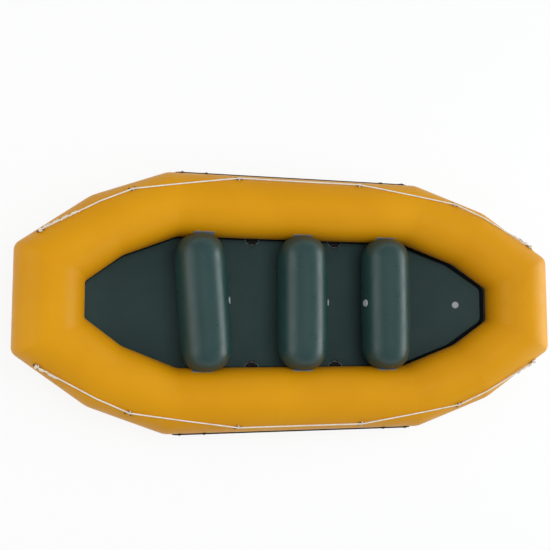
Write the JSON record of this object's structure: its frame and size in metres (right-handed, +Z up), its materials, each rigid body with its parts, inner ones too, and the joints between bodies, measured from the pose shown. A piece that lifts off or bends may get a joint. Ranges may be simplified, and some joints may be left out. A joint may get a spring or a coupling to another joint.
{
  "type": "whitewater raft",
  "caption": "Inflated whitewater paddle raft: mitred tubes kicked up at both ends, air floor, cross tubes, grab lines on rings, carry handles and valves.",
  "frame": {"origin": "on the ground under the middle of the raft, at the level of the underside of the straight side tubes", "axes": "+X to the bow, +Y to port, +Z up"},
  "size_m": [4.3024, 2.059, 0.6912],
  "materials": {
    "tube_fabric": "satin coated PVC",
    "floor_fabric": "satin coated PVC",
    "thwart_fabric": "glossy coated PVC",
    "baffle_fabric": "matte coated fabric",
    "line_rope": "braided rope",
    "ring_steel": "dark satin",
    "black_rubber": "moulded matte",
    "valve_body": "moulded",
    "valve_cap": "moulded",
    "valve_plunger": "moulded"
  },
  "bodies": {
    "hull": {"tube_bow_port": "tube_fabric", "tube_bow_starboard": "tube_fabric", "tube_stern_port": "tube_fabric", "tube_stern_starboard": "tube_fabric", "baffle_bow": "baffle_fabric", "baffle_stern": "baffle_fabric", "baffle_port": "baffle_fabric", "baffle_starboard": "baffle_fabric", "floor": "floor_fabric", "thwart_bow": "thwart_fabric", "thwart_middle": "thwart_fabric", "thwart_stern": "thwart_fabric", "line_ring_bow_port_1": "ring_steel", "line_ring_bow_port_2": "ring_steel", "line_ring_bow_port_3": "ring_steel", "line_ring_bow_starboard_1": "ring_steel", "line_ring_bow_starboard_2": "ring_steel", "line_ring_bow_starboard_3": "ring_steel", "line_ring_stern_port_1": "ring_steel", "line_ring_stern_port_2": "ring_steel", "line_ring_stern_port_3": "ring_steel", "line_ring_stern_starboard_1": "ring_steel", "line_ring_stern_starboard_2": "ring_steel", "line_ring_stern_starboard_3": "ring_steel", "grab_line_port": "line_rope", "grab_line_starboard": "line_rope", "rub_strake_port": "black_rubber", "rub_strake_starboard": "black_rubber", "handle_bow_port": "black_rubber", "handle_bow_starboard": "black_rubber", "handle_stern_port": "black_rubber", "handle_stern_starboard": "black_rubber", "valve_body_floor": "valve_body", "valve_body_thwart_bow": "valve_body", "valve_body_thwart_middle": "valve_body", "valve_body_thwart_stern": "valve_body", "valve_body_bow_port": "valve_body", "valve_body_bow_starboard": "valve_body", "valve_body_stern_port": "valve_body", "valve_body_stern_starboard": "valve_body"},
    "ring_bow_port": {"floor_ring_bow_port": "ring_steel"},
    "ring_bow_starboard": {"floor_ring_bow_starboard": "ring_steel"},
    "ring_stern_port": {"floor_ring_stern_port": "ring_steel"},
    "ring_stern_starboard": {"floor_ring_stern_starboard": "ring_steel"},
    "cap_floor": {"valve_cap_floor": "valve_cap"},
    "cap_thwart_bow": {"valve_cap_thwart_bow": "valve_cap"},
    "cap_thwart_middle": {"valve_cap_thwart_middle": "valve_cap"},
    "cap_thwart_stern": {"valve_cap_thwart_stern": "valve_cap"},
    "cap_bow_port": {"valve_cap_bow_port": "valve_cap"},
    "cap_bow_starboard": {"valve_cap_bow_starboard": "valve_cap"},
    "cap_stern_port": {"valve_cap_stern_port": "valve_cap"},
    "cap_stern_starboard": {"valve_cap_stern_starboard": "valve_cap"},
    "plunger_floor": {"valve_plunger_floor": "valve_plunger"},
    "plunger_thwart_bow": {"valve_plunger_thwart_bow": "valve_plunger"},
    "plunger_thwart_middle": {"valve_plunger_thwart_middle": "valve_plunger"},
    "plunger_thwart_stern": {"valve_plunger_thwart_stern": "valve_plunger"},
    "plunger_bow_port": {"valve_plunger_bow_port": "valve_plunger"},
    "plunger_bow_starboard": {"valve_plunger_bow_starboard": "valve_plunger"},
    "plunger_stern_port": {"valve_plunger_stern_port": "valve_plunger"},
    "plunger_stern_starboard": {"valve_plunger_stern_starboard": "valve_plunger"}
  },
  "joints": [
    {"name": "ring_bow_port_swing", "type": "hinge", "parent": "hull", "child": "ring_bow_port", "pos_m": [0.385, 0.505, 0.1279], "axis": [-1, 0, 0], "range_deg": [0, 120]},
    {"name": "ring_bow_starboard_swing", "type": "hinge", "parent": "hull", "child": "ring_bow_starboard", "pos_m": [0.385, -0.505, 0.1279], "axis": [1, 0, 0], "range_deg": [0, 120]},
    {"name": "ring_stern_port_swing", "type": "hinge", "parent": "hull", "child": "ring_stern_port", "pos_m": [-0.33, 0.505, 0.1279], "axis": [-1, 0, 0], "range_deg": [0, 120]},
    {"name": "ring_stern_starboard_swing", "type": "hinge", "parent": "hull", "child": "ring_stern_starboard", "pos_m": [-0.33, -0.505, 0.1279], "axis": [1, 0, 0], "range_deg": [0, 120]},
    {"name": "cap_floor_turn", "type": "hinge", "parent": "hull", "child": "cap_floor", "pos_m": [1.45464, 0, 0.21625], "axis": [-0.2846, 0, 0.9586], "range_deg": [0, 90]},
    {"name": "cap_thwart_bow_turn", "type": "hinge", "parent": "hull", "child": "cap_thwart_bow", "pos_m": [0.56003, 0, 0.38211], "axis": [-0.9703, 0, 0.2419], "range_deg": [0, 90]},
    {"name": "cap_thwart_middle_turn", "type": "hinge", "parent": "hull", "child": "cap_thwart_middle", "pos_m": [0.23697, 0, 0.38211], "axis": [0.9703, 0, 0.2419], "range_deg": [0, 90]},
    {"name": "cap_thwart_stern_turn", "type": "hinge", "parent": "hull", "child": "cap_thwart_stern", "pos_m": [-0.5652, 0.00825, 0.38211], "axis": [0.9694, 0.0406, 0.2419], "range_deg": [0, 90]},
    {"name": "cap_bow_port_turn", "type": "hinge", "parent": "hull", "child": "cap_bow_port", "pos_m": [1.17844, 0.43902, 0.2159], "axis": [-0.2963, -0.8939, -0.3364], "range_deg": [0, 90]},
    {"name": "cap_bow_starboard_turn", "type": "hinge", "parent": "hull", "child": "cap_bow_starboard", "pos_m": [1.17844, -0.43902, 0.2159], "axis": [-0.2963, 0.8939, -0.3364], "range_deg": [0, 90]},
    {"name": "cap_stern_port_turn", "type": "hinge", "parent": "hull", "child": "cap_stern_port", "pos_m": [-1.17844, 0.43902, 0.2159], "axis": [0.2963, -0.8939, -0.3364], "range_deg": [0, 90]},
    {"name": "cap_stern_starboard_turn", "type": "hinge", "parent": "hull", "child": "cap_stern_starboard", "pos_m": [-1.17844, -0.43902, 0.2159], "axis": [0.2963, 0.8939, -0.3364], "range_deg": [0, 90]},
    {"name": "plunger_floor_push", "type": "slide", "parent": "hull", "child": "plunger_floor", "axis": [0.2846, 0, -0.9586], "range_m": [0, 0.004], "stiffness_N_per_m": 400, "springref_m": -0.003},
    {"name": "plunger_thwart_bow_push", "type": "slide", "parent": "hull", "child": "plunger_thwart_bow", "axis": [0.9703, 0, -0.2419], "range_m": [0, 0.004], "stiffness_N_per_m": 400, "springref_m": -0.003},
    {"name": "plunger_thwart_middle_push", "type": "slide", "parent": "hull", "child": "plunger_thwart_middle", "axis": [-0.9703, 0, -0.2419], "range_m": [0, 0.004], "stiffness_N_per_m": 400, "springref_m": -0.003},
    {"name": "plunger_thwart_stern_push", "type": "slide", "parent": "hull", "child": "plunger_thwart_stern", "axis": [-0.9694, -0.0406, -0.2419], "range_m": [0, 0.004], "stiffness_N_per_m": 400, "springref_m": -0.003},
    {"name": "plunger_bow_port_push", "type": "slide", "parent": "hull", "child": "plunger_bow_port", "axis": [0.2963, 0.8939, 0.3364], "range_m": [0, 0.004], "stiffness_N_per_m": 400, "springref_m": -0.003},
    {"name": "plunger_bow_starboard_push", "type": "slide", "parent": "hull", "child": "plunger_bow_starboard", "axis": [0.2963, -0.8939, 0.3364], "range_m": [0, 0.004], "stiffness_N_per_m": 400, "springref_m": -0.003},
    {"name": "plunger_stern_port_push", "type": "slide", "parent": "hull", "child": "plunger_stern_port", "axis": [-0.2963, 0.8939, 0.3364], "range_m": [0, 0.004], "stiffness_N_per_m": 400, "springref_m": -0.003},
    {"name": "plunger_stern_starboard_push", "type": "slide", "parent": "hull", "child": "plunger_stern_starboard", "axis": [-0.2963, -0.8939, 0.3364], "range_m": [0, 0.004], "stiffness_N_per_m": 400, "springref_m": -0.003}
  ]
}
